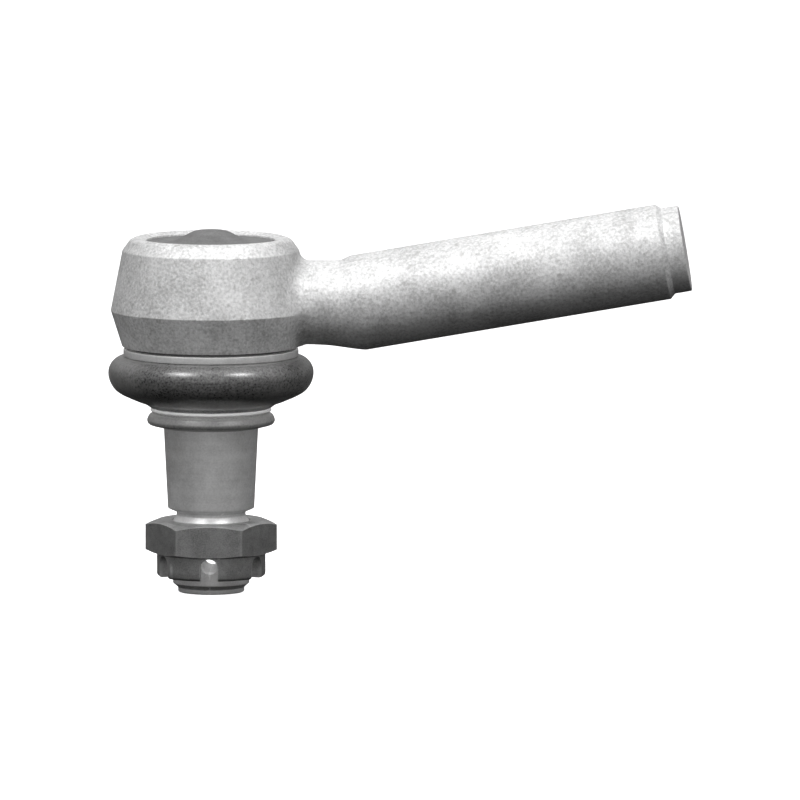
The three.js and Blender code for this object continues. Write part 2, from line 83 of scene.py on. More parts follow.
# Gaps and walls that the frame's boxes don't show
RESTING_GAP = 0.05
FITTING_GAP = 0.2
COVER_THICKNESS = 2.5
NECK_LENGTH = 5.2
NECK_WALL = 7.1
RIM_RISE = 1.5
RIM_WALL = 4.0
CRIMP_OVERLAP = 3.5
CLAMP_WALL = 0.8
COLLAR_WALL = 1.7
BASE_LEDGE = 0.4

BALL_CENTRE = joints["stud_swing"]["pos_m"][2] / MM
NECK_BOTTOM = low("tie_rod_housing").z
COVER_BOTTOM = low("closing_cover").z
COVER_TOP = high("disc_spring").z + RESTING_GAP + COVER_THICKNESS
DOME_TOP = high("closing_cover").z
COVER_RADIUS = high("closing_cover").x
DRUM_RADIUS = high("tie_rod_housing").y
POCKET_RADIUS = COVER_RADIUS + FITTING_GAP
BASE_HEIGHT = NECK_BOTTOM + NECK_LENGTH
CLAMP_RADIUS = high("boot_upper_clamp_ring").x
CLAMP_BOTTOM = low("boot_upper_clamp_ring").z
CLAMP_TOP = high("boot_upper_clamp_ring").z
RIM_TOP = COVER_TOP + RIM_RISE
RIM_RADIUS = POCKET_RADIUS + RIM_WALL
CRIMP_RADIUS = POCKET_RADIUS - CRIMP_OVERLAP
BASE_RADIUS = CLAMP_RADIUS + BASE_LEDGE
BOOT_NECK_RADIUS = CLAMP_RADIUS - CLAMP_WALL - FITTING_GAP - COLLAR_WALL - FITTING_GAP
ROOT_FILLET_TOP = 3.3
ROOT_FILLET_SIDE = 7.5
BULGE_RADIUS = high("dust_boot").x
BOOT_BOTTOM = low("dust_boot").z
RING_TOP = high("boot_lower_clamp_ring").z
RING_BOTTOM = low("boot_lower_clamp_ring").z
RING_RADIUS = high("boot_lower_clamp_ring").x
LIP_BOTTOM = low("boot_seal_lip").z
LIP_TOP = high("boot_seal_lip").z
LIP_RADIUS = high("boot_seal_lip").x
CONE_RADIUS = 15.0
RING_BORE = CONE_RADIUS + FITTING_GAP
NUT_BOTTOM = low("castle_nut").z
NUT_TOP = high("castle_nut").z
NUT_APOTHEM = high("castle_nut").y
NECK_RADIUS = 13.2
BEND = Vector((46.5, 0, BALL_CENTRE))
SHANK_END = Vector(mounts["shank_end_face"]["pos_m"]) / MM
SHANK_AXIS = Vector(mounts["shank_end_face"]["axis"]).normalized()
SHANK_LENGTH = (SHANK_END - BEND).length
SHANK_RADIUS = 15.0


# ------------------------------------------------------------------ mesh helpers


def build(name, points, faces, body, material, replaced):
    """A mesh object from millimetre points, riding on its body and standing for its CAD node."""
    mesh = bpy.data.meshes.new(name)
    mesh.from_pydata([Vector(point) * MM for point in points], [], faces)
    mesh.validate()
    piece = bpy.data.objects.new(name, mesh)
    bpy.context.scene.collection.objects.link(piece)
    mesh.materials.append(material)
    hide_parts(replaced)
    if body:
        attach(piece, body)
    return piece


def rounded(profile, radii, steps=5, closed=False):
    """A profile with its corners turned into arcs; radii maps a corner's index to its radius."""
    result = []
    count = len(profile)
    for index, corner in enumerate(profile):
        radius = radii.get(index, 0) if isinstance(radii, dict) else radii
        inner = closed or 0 < index < count - 1
        if not radius or not inner:
            result.append(tuple(corner))
            continue
        here = Vector(corner)
        before = Vector(profile[index - 1])
        after = Vector(profile[(index + 1) % count])
        to_before = (before - here).normalized()
        to_after = (after - here).normalized()
        turn = math.acos(max(-1, min(1, to_before.dot(to_after))))
        if turn > math.pi - 0.02:
            result.append(tuple(corner))
            continue
        reach = radius / math.tan(turn / 2)
        reach = min(reach, 0.48 * (before - here).length, 0.48 * (after - here).length)
        radius = reach * math.tan(turn / 2)
        centre = here + (to_before + to_after).normalized() * (radius / math.sin(turn / 2))
        start = here + to_before * reach - centre
        sweep = math.pi - turn
        side = 1 if start.x * (here - centre).y - start.y * (here - centre).x > 0 else -1
        for step in range(steps + 1):
            angle = side * sweep * step / steps
            rotated = Vector((
                start.x * math.cos(angle) - start.y * math.sin(angle),
                start.x * math.sin(angle) + start.y * math.cos(angle),
            ))
            result.append(tuple(centre + rotated))
    return result


def divided(profile, longest, closed=False):
    """The same profile with its long straight runs divided."""
    result = []
    pairs = list(zip(profile, profile[1:] + profile[:1]))
    if not closed:
        pairs = pairs[:-1]
    for start, end in pairs:
        length = math.dist(start, end)
        parts = max(1, math.ceil(length / longest))
        for part in range(parts):
            share = part / parts
            result.append((
                start[0] + (end[0] - start[0]) * share,
                start[1] + (end[1] - start[1]) * share,
            ))
    if not closed:
        result.append(profile[-1])
    return result


def spline(points, steps):
    """A smooth line through points (centripetal Catmull-Rom), with steps pieces per span."""
    line = [Vector(point) for point in points]
    line = [line[0] * 2 - line[1]] + line + [line[-1] * 2 - line[-2]]
    result = []
    for a, b, c, d in zip(line, line[1:], line[2:], line[3:]):
        knots = [0.0]
        for start, end in ((a, b), (b, c), (c, d)):
            knots.append(knots[-1] + max(1e-6, (end - start).length) ** 0.5)
        for step in range(steps):
            t = knots[1] + (knots[2] - knots[1]) * step / steps
            first = [
                (p * (knots[i + 1] - t) + q * (t - knots[i])) / (knots[i + 1] - knots[i])
                for i, (p, q) in enumerate(((a, b), (b, c), (c, d)))
            ]
            second = [
                (first[i] * (knots[i + 2] - t) + first[i + 1] * (t - knots[i])) / (knots[i + 2] - knots[i])
                for i in range(2)
            ]
            point = (second[0] * (knots[2] - t) + second[1] * (t - knots[1])) / (knots[2] - knots[1])
            result.append(tuple(point))
    result.append(tuple(line[-2]))
    return result


def lathe(profile, closed=False, around=AROUND):
    """Points and faces of a profile turned about Z. Ends on the axis become single points."""
    points = []
    rings = []
    for radius, height in profile:
        if radius < 1e-6:
            rings.append([len(points)])
            points.append((0.0, 0.0, height))
            continue
        rings.append(list(range(len(points), len(points) + around)))
        for step in range(around):
            angle = 2 * math.pi * step / around
            points.append((radius * math.cos(angle), radius * math.sin(angle), height))
    faces = []
    pairs = list(zip(rings, rings[1:]))
    if closed:
        pairs.append((rings[-1], rings[0]))
    for lower, upper in pairs:
        for step in range(around):
            following = (step + 1) % around
            quad = [
                lower[step % len(lower)],
                lower[following % len(lower)],
                upper[following % len(upper)],
                upper[step % len(upper)],
            ]
            face = [v for i, v in enumerate(quad) if v != quad[i - 1]]
            if len(face) > 2:
                faces.append(face)
    return points, faces


# ------------------------------------------------------------------ material helpers


class Shading:
    """A Principled material that grows by small node helpers."""

    def __init__(self, name):
        self.material = bpy.data.materials.new(name)
        self.material.use_nodes = True
        self.nodes = self.material.node_tree.nodes
        self.links = self.material.node_tree.links
        self.shader = self.nodes["Principled BSDF"]
        self.place = self.nodes.new("ShaderNodeTexCoord").outputs["Object"]
        self.bump_normal = None

    def value(self, socket, number):
        self.shader.inputs[socket].default_value = number

    def link(self, output, socket):
        self.links.new(output, self.shader.inputs[socket])

    def math(self, operation, first, second=0.0, clamp=False):
        node = self.nodes.new("ShaderNodeMath")
        node.operation = operation
        node.use_clamp = clamp
        for socket, given in zip(node.inputs, (first, second)):
            if isinstance(given, (int, float)):
                socket.default_value = given
            else:
                self.links.new(given, socket)
        return node.outputs[0]

    def noise(self, scale, detail=3.0, roughness=0.5, place=None):
        node = self.nodes.new("ShaderNodeTexNoise")
        node.inputs["Scale"].default_value = scale
        node.inputs["Detail"].default_value = detail
        node.inputs["Roughness"].default_value = roughness
        self.links.new(place or self.place, node.inputs["Vector"])
        return node.outputs["Fac"]

    def pits(self, scale):
        node = self.nodes.new("ShaderNodeTexVoronoi")
        node.inputs["Scale"].default_value = scale
        self.links.new(self.place, node.inputs["Vector"])
        return node.outputs["Distance"]

    def spread(self, source, low_in, high_in, low_out, high_out):
        node = self.nodes.new("ShaderNodeMapRange")
        self.links.new(source, node.inputs["Value"])
        node.inputs["From Min"].default_value = low_in
        node.inputs["From Max"].default_value = high_in
        node.inputs["To Min"].default_value = low_out
        node.inputs["To Max"].default_value = high_out
        return node.outputs["Result"]

    def mix(self, factor, first, second):
        node = self.nodes.new("ShaderNodeMix")
        node.data_type = "RGBA"
        sockets = {s.identifier: s for s in node.inputs}
        for key, given in (("Factor_Float", factor), ("A_Color", first), ("B_Color", second)):
            if isinstance(given, (tuple, int, float)):
                sockets[key].default_value = given
            else:
                self.links.new(given, sockets[key])
        return {s.identifier: s for s in node.outputs}["Result_Color"]

    def radius_and_height(self):
        """The shaded point's distance from the stud axis and its height along it, in metres."""
        split = self.nodes.new("ShaderNodeSeparateXYZ")
        self.links.new(self.place, split.inputs[0])
        squares = [self.math("POWER", split.outputs[axis], 2.0) for axis in (0, 1)]
        return self.math("SQRT", self.math("ADD", *squares)), split.outputs[2]

    def turning_lines(self):
        """Coordinates that change only along the axis and outwards, as a lathe tool leaves marks."""
        radius, height = self.radius_and_height()
        join = self.nodes.new("ShaderNodeCombineXYZ")
        self.links.new(radius, join.inputs[0])
        self.links.new(height, join.inputs[1])
        return join.outputs[0]

    def bump(self, height, distance, strength=1.0):
        """Adds a height in metres to the normal."""
        node = self.nodes.new("ShaderNodeBump")
        node.inputs["Strength"].default_value = strength
        node.inputs["Distance"].default_value = distance
        self.links.new(height, node.inputs["Height"])
        if self.bump_normal:
            self.links.new(self.bump_normal, node.inputs["Normal"])
        self.bump_normal = node.outputs["Normal"]
        self.links.new(self.bump_normal, self.shader.inputs["Normal"])

    def edges(self, low_in=0.52, high_in=0.62):
        node = self.nodes.new("ShaderNodeNewGeometry")
        return self.spread(node.outputs["Pointiness"], low_in, high_in, 0.0, 1.0)

    def rubbed(self, colour, share, bright):
        """The colour with a share of a brighter one along its outward edges."""
        return self.mix(self.math("MULTIPLY", self.edges(), share), colour, bright)

    def layered(self, *layers):
        """The sum of several readings, each times its own share."""
        total = None
        for source, share in layers:
            scaled = self.math("MULTIPLY", source, share)
            total = self.math("ADD", total, scaled) if total else scaled
        return total


def grey(value, warmth=0.0):
    return (value * (1 + warmth), value, value * (1 - warmth), 1)


def forged_steel(name):
    """Shot-blasted forging: dimpled all over, faintly mottled, rubbed bright along its edges, with painted
    shade on the neck under the socket's base.
    """
    look = Shading(name)
    mottling = look.noise(70, 5, 0.6)
    speckle = look.noise(1100, 3, 0.65)
    tone = look.layered((mottling, 0.45), (speckle, 0.55))
    colour = look.mix(look.spread(tone, 0.38, 0.62, 0, 1), grey(0.44), grey(0.82))
    pits = look.spread(look.noise(420, 2, 0.5), 0.62, 0.7, 0, 1)
    colour = look.mix(look.math("MULTIPLY", pits, 0.35), colour, grey(0.3, 0.02))
    colour = look.rubbed(colour, 0.5, grey(0.85))
    # Painted shade: the neck is darkened almost to black in the narrow gap between the socket's base and the
    # clamp band, where shade would fall.
    radius, height = look.radius_and_height()
    shade_below_base = look.spread(height, (BASE_HEIGHT - 0.1) * MM, (BASE_HEIGHT + 0.05) * MM, 0.9, 0)
    shade_on_neck = look.spread(radius, (BOOT_NECK_RADIUS + 1) * MM, (BOOT_NECK_RADIUS + 1.3) * MM, 1, 0)
    colour = look.mix(look.math("MULTIPLY", shade_below_base, shade_on_neck), colour, grey(0.05))
    look.link(colour, "Base Color")
    look.value("Metallic", 0.34)
    look.link(look.spread(tone, 0.35, 0.65, 0.62, 0.46), "Roughness")
    look.value("Specular IOR Level", 0.35)
    look.bump(look.noise(38, 3), 0.0006, 0.2)
    look.bump(look.pits(800), 0.00012, 0.55)
    look.bump(speckle, 0.00008, 0.6)
    return look.material


def turned_steel(name, dark, light, metallic=0.6, roughness=0.36, stain=0.3, wear=0.6):
    """Turned surface: fine tool lines round the axis, faint oil staining, brighter edges."""
    look = Shading(name)
    across = look.turning_lines()
    lines = look.noise(3000, 2, 0.7, across)
    bands = look.noise(420, 2, 0.5, across)
    cloud = look.noise(120, 5, 0.6)
    grain = look.noise(1600, 2, 0.6)
    tone = look.layered((cloud, 0.5), (bands, 0.2), (grain, 0.3))
    colour = look.mix(look.spread(tone, 0.38, 0.62, 0, 1), grey(dark), grey(light))
    film = look.spread(look.noise(45, 4, 0.6), 0.5, 0.68, 0, stain)
    colour = look.mix(film, colour, grey(dark * 0.6, 0.04))
    colour = look.rubbed(colour, wear, grey(min(1, light * 1.5)))
    look.link(colour, "Base Color")
    look.value("Metallic", metallic)
    look.link(look.spread(tone, 0.35, 0.65, roughness + 0.08, roughness - 0.05), "Roughness")
    look.bump(lines, 0.00003, 0.5)
    look.bump(grain, 0.00002, 0.3)
    return look.material


def phosphated_steel(name):
    """Dark crystalline phosphate with a little oil, worn to bright steel along its edges."""
    look = Shading(name)
    cloud = look.noise(160, 5, 0.65)
    crystals = look.noise(2400, 3, 0.7)
    tone = look.layered((cloud, 0.5), (crystals, 0.5))
    colour = look.mix(look.spread(tone, 0.38, 0.62, 0, 1), grey(0.17), grey(0.35))
    patchy = look.spread(look.noise(300, 4, 0.7), 0.35, 0.6, 0.2, 1)
    worn = look.math("MULTIPLY", look.edges(0.515, 0.6), patchy)
    colour = look.mix(worn, colour, grey(0.55))
    look.link(colour, "Base Color")
    look.value("Metallic", 0.55)
    look.link(look.spread(tone, 0.35, 0.65, 0.5, 0.36), "Roughness")
    look.bump(crystals, 0.00003, 0.6)
    look.bump(cloud, 0.0001, 0.15)
    return look.material


def moulded_rubber(name, dark, light):
    """Semi-matt moulded rubber: fine grain, and a thin bloom of dust in patches."""
    look = Shading(name)
    bloom = look.noise(55, 5, 0.6)
    grain = look.noise(1500, 3, 0.6)
    tone = look.layered((bloom, 0.35), (grain, 0.65))
    colour = look.mix(look.spread(tone, 0.4, 0.6, 0, 1), grey(dark), grey(light, 0.01))
    look.link(colour, "Base Color")
    look.link(look.spread(tone, 0.35, 0.65, 0.26, 0.36), "Roughness")
    look.value("Specular IOR Level", 1.0)
    look.value("Sheen Weight", 0.12)
    look.value("Sheen Roughness", 0.4)
    look.bump(look.noise(30, 3), 0.0006, 0.18)
    look.bump(grain, 0.00002, 0.4)
    return look.material


def acetal(name):
    """Natural acetal: warm white, slightly translucent, with faint moulding flow."""
    look = Shading(name)
    flow = look.noise(80, 4, 0.55)
    colour = look.mix(look.spread(flow, 0.35, 0.65, 0, 1), (0.72, 0.69, 0.6, 1), (0.82, 0.8, 0.72, 1))
    colour = look.rubbed(colour, 0.3, (0.9, 0.89, 0.84, 1))
    look.link(colour, "Base Color")
    look.link(look.spread(flow, 0.3, 0.7, 0.38, 0.5), "Roughness")
    look.value("Subsurface Weight", 0.1)
    look.value("Subsurface Scale", 0.001)
    look.bump(look.noise(900, 2), 0.00003, 0.4)
    return look.material


def blued_spring(name):
    """Blued spring steel with faint temper colours."""
    look = Shading(name)
    temper = look.noise(60, 3, 0.5)
    colour = look.mix(look.spread(temper, 0.35, 0.65, 0, 1), (0.09, 0.1, 0.14, 1), (0.2, 0.19, 0.2, 1))
    colour = look.rubbed(colour, 0.6, grey(0.5))
    look.link(colour, "Base Color")
    look.value("Metallic", 0.9)
    look.link(look.spread(temper, 0.3, 0.7, 0.28, 0.42), "Roughness")
    look.bump(look.noise(1800, 2, 0.6), 0.00002, 0.4)
    return look.material


def nitrile(name):
    """Black nitrile ring with a greasy sheen."""
    look = Shading(name)
    grease = look.noise(200, 4, 0.6)
    colour = look.mix(look.spread(grease, 0.4, 0.6, 0, 1), grey(0.012), grey(0.03))
    look.link(colour, "Base Color")
    look.link(look.spread(grease, 0.3, 0.7, 0.25, 0.5), "Roughness")
    look.bump(look.noise(1500, 2), 0.00003, 0.4)
    return look.material


# ------------------------------------------------------------------ socket, neck and shank


def socket_profile():
    """The forging's outline from the boot neck's lower edge up to the rolled rim's tip."""
    belt_height = BALL_CENTRE - 2.5
    bead = 0.6
    bead_height = 0.7
    corners = [
        (BOOT_NECK_RADIUS - NECK_WALL, NECK_BOTTOM),
        (BOOT_NECK_RADIUS + bead, NECK_BOTTOM),
        (BOOT_NECK_RADIUS + bead, NECK_BOTTOM + bead_height),
        (BOOT_NECK_RADIUS, NECK_BOTTOM + bead_height),
        (BOOT_NECK_RADIUS, BASE_HEIGHT),
        (BASE_RADIUS, BASE_HEIGHT),
        (DRUM_RADIUS, belt_height),
        (RIM_RADIUS, RIM_TOP - 4.05),
        (RIM_RADIUS - 2.4, RIM_TOP - 0.75),
        (POCKET_RADIUS - 0.6, RIM_TOP),
        (CRIMP_RADIUS, COVER_TOP + 0.6),
        (CRIMP_RADIUS, COVER_TOP + RESTING_GAP),
    ]
    radii = {1: 0.15, 2: 0.15, 3: 0.2, 4: 0.25, 5: 0.22, 6: 0.7, 7: 1.2, 8: 2.2, 9: 1.4, 10: 0.2}
    return rounded(corners, radii, steps=6)


def cavity_profile():
    """The forging's inside, from the rim's tip down to the mouth."""
    bore = high("lower_ball_seat").x + FITTING_GAP
    floor = low("lower_ball_seat").z - RESTING_GAP
    mouth = BOOT_NECK_RADIUS - NECK_WALL
    ledge = COVER_BOTTOM - RESTING_GAP
    groove_depth = 1.4
    lip_width = 0.7
    flare = 2.1
    corners = [
        (CRIMP_RADIUS, COVER_TOP + RESTING_GAP),
        (POCKET_RADIUS, COVER_TOP + RESTING_GAP),
        (POCKET_RADIUS, ledge - groove_depth),
        (bore + lip_width, ledge - groove_depth),
        (bore + lip_width, ledge),
        (bore, ledge),
        (bore, floor),
        (mouth - flare, floor),
        (mouth, NECK_BOTTOM),
    ]
    return rounded(corners, {7: 0.4}, steps=4)


class Flank:
    """The drum's side between two heights: its radius by height, and the running length along it."""

    def __init__(self, rows):
        self.rows = rows
        self.lengths = [0.0]
        for start, end in zip(rows, rows[1:]):
            self.lengths.append(self.lengths[-1] + math.dist(start, end))

    def find(self, height):
        """The row pair and share for a height; the first and last spans run on past the ends."""
        index = 1
        while index < len(self.rows) - 1 and self.rows[index][1] < height:
            index += 1
        below, above = self.rows[index - 1], self.rows[index]
        return index, (height - below[1]) / (above[1] - below[1])

    def radius(self, height):
        index, share = self.find(height)
        below, above = self.rows[index - 1], self.rows[index]
        return below[0] + (above[0] - below[0]) * share

    def length(self, height):
        index, share = self.find(height)
        return self.lengths[index - 1] + (self.lengths[index] - self.lengths[index - 1]) * share


def signed(angle):
    """An angle brought between minus and plus half a turn."""
    return (angle + math.pi) % (2 * math.pi) - math.pi


def root_curves(flank, count, steps):
    """The fillet between drum and neck: one curve for each angle round the neck from straight up.

    Each curve lies in a plane through the neck's axis. It is an arc that touches the drum's
    section and the neck, and it is cut level where it would hang below the socket's base.
    Returns for each angle the curve's points and whether it starts on the base's edge.
    """
    base = flank.rows[0][1]
    edge = flank.rows[0][0]
    curves = []
    for index in range(count):
        angle = 2 * math.pi * index / count
        across, up = math.sin(angle), math.cos(angle)
        fillet = ROOT_FILLET_TOP + (ROOT_FILLET_SIDE - ROOT_FILLET_TOP) * across ** 2

        def section(offset):
            radius = flank.radius(BALL_CENTRE + offset * up)
            return math.sqrt(max(0.0, radius * radius - (offset * across) ** 2))

        offsets = [NECK_RADIUS + fillet * 1.05 * i / 60 for i in range(61)]
        wall = [(section(offset), offset) for offset in offsets]
        centre_offset = NECK_RADIUS + fillet
        near, far = wall[0][0] - 1.0, wall[0][0] + 2 * fillet + 1.0
        for _ in range(40):
            middle = (near + far) / 2
            gap = min(math.hypot(middle - x, centre_offset - s) for x, s in wall)
            if middle < wall[-1][0] or gap < fillet:
                near = middle
            else:
                far = middle
        centre_x = (near + far) / 2
        touch_x, touch_s = min(wall, key=lambda p: math.hypot(centre_x - p[0], centre_offset - p[1]))
        start_angle = math.atan2(touch_s - centre_offset, touch_x - centre_x)
        end_angle = -math.pi / 2
        if start_angle > 0:
            start_angle -= 2 * math.pi

        def place(share):
            turn = start_angle + (end_angle - start_angle) * share
            offset = centre_offset + fillet * math.sin(turn)
            x = centre_x + fillet * math.cos(turn)
            return Vector((x, offset * across, BALL_CENTRE + offset * up))

        touching = place(0).z < base
        if not touching:
            curve = [place(step / steps) for step in range(steps + 1)]
            curve[0] = Vector((section(touch_s), touch_s * across, BALL_CENTRE + touch_s * up))
        else:
            low_share, high_share = 0.0, 1.0
            for _ in range(40):
                middle = (low_share + high_share) / 2
                spot = place(middle)
                if spot.z < base and math.hypot(spot.x, spot.y) < edge:
                    low_share = middle
                else:
                    high_share = middle
            curve = [place(high_share + (1 - high_share) * step / steps) for step in range(steps + 1)]
            for spot in curve:
                spot.z = max(spot.z, base)
            turn = math.atan2(curve[0].y, curve[0].x)
            curve[0] = Vector((edge * math.cos(turn), edge * math.sin(turn), base))
        curves.append((curve, touching))
    return curves


def inside_or_near(spot, loop, distance):
    """Whether a flat point lies inside a closed loop, or within a distance of its line."""
    inside = False
    for (ax, ay), (bx, by) in zip(loop, loop[1:] + loop[:1]):
        if (ay > spot.y) != (by > spot.y):
            if spot.x < (bx - ax) * (spot.y - ay) / (by - ay) + ax:
                inside = not inside
        if distance:
            span = Vector((bx - ax, by - ay))
            share = (spot - Vector((ax, ay))).dot(span) / max(span.length_squared, 1e-12)
            share = min(1.0, max(0.0, share))
            if (spot - Vector((ax, ay)) - span * share).length < distance:
                return True
    return inside


def make_housing(material):
    """Drum with its inside, a window in the drum's side, and the neck and shank from its root."""
    outside = socket_profile()
    around_neck = 120
    flank_first = next(i for i, p in enumerate(outside) if p[1] > BASE_HEIGHT + 0.15)
    flank_last = next(i for i, p in enumerate(outside) if p[1] > RIM_TOP - 1.2)
    rows = divided(outside[flank_first:flank_last + 1], 0.9)
    flank = Flank(rows)
    curves = root_curves(flank, around_neck, 12)

    # Angles round the socket: even, but through the root's own points along the base's edge.
    contact = sorted(math.atan2(curve[0].y, curve[0].x) for curve, touching in curves if touching)
    spacing = 2 * math.pi / AROUND
    free = 2 * math.pi - (contact[-1] - contact[0])
    spare = round(free / spacing)
    angles = contact + [contact[-1] + free * i / spare for i in range(1, spare)]
    around = len(angles)
    full = outside[:flank_first] + rows + outside[flank_last + 1:] + cavity_profile()[1:]
    points = [(r * math.cos(a), r * math.sin(a), z) for r, z in full for a in angles]
    faces = []
    total = len(full)
    last_row = len(rows) - 1
    window = math.radians(50)
    in_window = [abs(signed(a)) < window for a in angles]
    for ring in range(total):
        following_ring = (ring + 1) % total
        for step in range(around):
            following = (step + 1) % around
            if 0 <= ring - flank_first < last_row and in_window[step] and in_window[following]:
                continue
            faces.append([
                ring * around + step, ring * around + following,
                following_ring * around + following, following_ring * around + step,
            ])

    # The root's line, with the base edge's own points where the two run together.
    root_index = []
    for curve, touching in curves:
        if touching:
            turn = math.atan2(curve[0].y, curve[0].x)
            column = min(range(around), key=lambda i: abs(signed(angles[i] - turn)))
            root_index.append(flank_first * around + column)
        else:
            root_index.append(len(points))
            points.append(tuple(curve[0]))

    # The window laid flat: angle times radius against length along the drum's side.
    columns = sorted((i for i in range(around) if in_window[i]), key=lambda i: signed(angles[i]))
    root_flat = [
        (math.atan2(curve[0].y, curve[0].x) * DRUM_RADIUS, flank.length(curve[0].z))
        for curve, _ in curves
    ]
    flat = []
    source = []
    spot_of = {}
    for row in range(len(rows)):
        for place, column in enumerate(columns):
            spot = Vector((signed(angles[column]) * DRUM_RADIUS, flank.lengths[row]))
            border = row in (0, last_row) or place in (0, len(columns) - 1)
            if not border and inside_or_near(spot, root_flat, 0.5):
                continue
            index = (flank_first + row) * around + column
            spot_of[index] = len(flat)
            flat.append(spot)
            source.append(index)
    edges = []
    for a, b in zip(columns, columns[1:]):
        for row in (0, last_row):
            start = (flank_first + row) * around
            edges.append((spot_of[start + a], spot_of[start + b]))
    for row in range(last_row):
        for column in (columns[0], columns[-1]):
            start = (flank_first + row) * around + column
            edges.append((spot_of[start], spot_of[start + around]))
    for step, index in enumerate(root_index):
        if index not in spot_of:
            spot_of[index] = len(flat)
            flat.append(Vector(root_flat[step]))
            source.append(index)
    for a, b in zip(root_index, root_index[1:] + root_index[:1]):
        edges.append((spot_of[a], spot_of[b]))
    made, _, triangles, given, _, _ = delaunay_2d_cdt(flat, edges, [], 0, 1e-7)
    for triangle in triangles:
        centre = sum((made[v] for v in triangle), Vector((0, 0))) / 3
        if not inside_or_near(centre, root_flat, 0):
            faces.append([source[given[v][0]] for v in triangle])

    # Fillet, neck, bend and shank, as rings from straight up round the line.
    previous = root_index
    for ring in neck_and_shank_rings([curve for curve, _ in curves]):
        current = list(range(len(points), len(points) + around_neck))
        points.extend(tuple(place) for place in ring)
        for step in range(around_neck):
            following = (step + 1) % around_neck
            faces.append([previous[step], current[step], current[following], previous[following]])
        previous = current
    centre = len(points)
    points.append(tuple(SHANK_END))
    for step in range(around_neck):
        faces.append([previous[step], centre, previous[(step + 1) % around_neck]])
    housing = build(
        "tie_rod_housing_forging", points, faces, "housing", material,
        "tie_rod_housing",
    )
    tidy_mesh(housing, 32)
    return housing


def neck_and_shank_rings(curves):
    """Rings of points from the neck's root to the shank's end."""
    count = len(curves)
    rings = [[curve[step] for curve in curves] for step in range(1, len(curves[0]))]
    neck_start = max(curve[-1].x for curve in curves) + 0.5
    for share in (0.4, 0.75, 1):
        rings.append([Vector((p.x + (neck_start - p.x) * share, p.y, p.z)) for p in rings[-1]])

    # The bend, between a line along the top, a line along the bottom and a half width.
    tilt = math.asin(SHANK_AXIS.z)
    upward = Vector((-math.sin(tilt), 0, math.cos(tilt)))
    thick_top = BEND + upward * SHANK_RADIUS
    thick_bottom = BEND - upward * SHANK_RADIUS
    straight = 36.0
    straight_below = straight - 4
    knuckle = 37.5
    spacing = 1.2
    pieces = 6
    level = BALL_CENTRE
    top = [
        (straight, level + NECK_RADIUS), (knuckle, level + NECK_RADIUS), (40.6, level + 13.4),
        (42.5, level + 14.2), (thick_top.x, thick_top.z),
    ]
    bottom = [
        (straight_below, level - NECK_RADIUS), (knuckle, level - 13.5), (41.5, level - 14.0),
        (45.6, level - 14.55), (thick_bottom.x, thick_bottom.z),
    ]
    width = [(0, NECK_RADIUS), (1, 13.3), (2, 13.7), (3, 14.5), (4, SHANK_RADIUS)]
    step_x = neck_start
    while step_x + spacing < straight_below:
        step_x += spacing
        neck_top = (step_x, level + NECK_RADIUS)
        neck_bottom = (step_x, level - NECK_RADIUS)
        rings.append(ellipse(neck_top, neck_bottom, NECK_RADIUS, count))
    tails = [BEND + SHANK_AXIS * 4 + upward * SHANK_RADIUS * side for side in (1, -1)]
    lines = [
        spline(top + [(tails[0].x, tails[0].z)], pieces)[:-pieces],
        spline(bottom + [(tails[1].x, tails[1].z)], pieces)[:-pieces],
        spline(width + [(5, SHANK_RADIUS)], pieces)[:-pieces],
    ]
    for above, below, (_, half) in zip(*lines):
        rings.append(ellipse(above, below, half, count))

    pilot_length = 5.4
    chamfer = 1.6
    thread_end = SHANK_LENGTH - pilot_length - chamfer
    pilot = SHANK_RADIUS - 1.45
    end_part = rounded(
        [
            (0, SHANK_RADIUS), (thread_end, SHANK_RADIUS), (thread_end + chamfer, pilot),
            (SHANK_LENGTH, pilot), (SHANK_LENGTH, 0),
        ],
        {1: 0.5, 2: 0.5, 3: 0.45}, steps=4,
    )
    stations = divided(end_part[:2], 1.8)[1:] + end_part[2:-1]
    stations += [(SHANK_LENGTH, pilot * share) for share in (0.9, 0.6, 0.3)]
    for distance, radius in stations:
        centre = BEND + SHANK_AXIS * distance
        above, below = centre + upward * radius, centre - upward * radius
        rings.append(ellipse((above.x, above.z), (below.x, below.z), radius, count))
    return rings


def ellipse(above, below, half_width, count):
    """A closed ring across the XZ plane from its top and bottom points, from the top round."""
    top, bottom = Vector((above[0], 0, above[1])), Vector((below[0], 0, below[1]))
    centre, arm = (top + bottom) / 2, (top - bottom) / 2
    side = Vector((0, half_width, 0))
    turns = [2 * math.pi * step / count for step in range(count)]
    return [centre + arm * math.cos(turn) + side * math.sin(turn) for turn in turns]


def tidy_mesh(piece, sharp_angle=35):
    """Welds doubled points, drops unused ones, turns every face outwards and marks sharp edges."""
    work = bmesh.new()
    work.from_mesh(piece.data)
    bmesh.ops.remove_doubles(work, verts=work.verts, dist=1e-7)
    loose = [vertex for vertex in work.verts if not vertex.link_faces]
    bmesh.ops.delete(work, geom=loose, context="VERTS")
    bmesh.ops.dissolve_degenerate(work, edges=work.edges, dist=1e-7)
    bmesh.ops.recalc_face_normals(work, faces=work.faces)
    work.to_mesh(piece.data)
    work.free()
    piece.data.shade_smooth()
    piece.data.set_sharp_from_angle(angle=math.radians(sharp_angle))


# ------------------------------------------------------------------ cover and rings


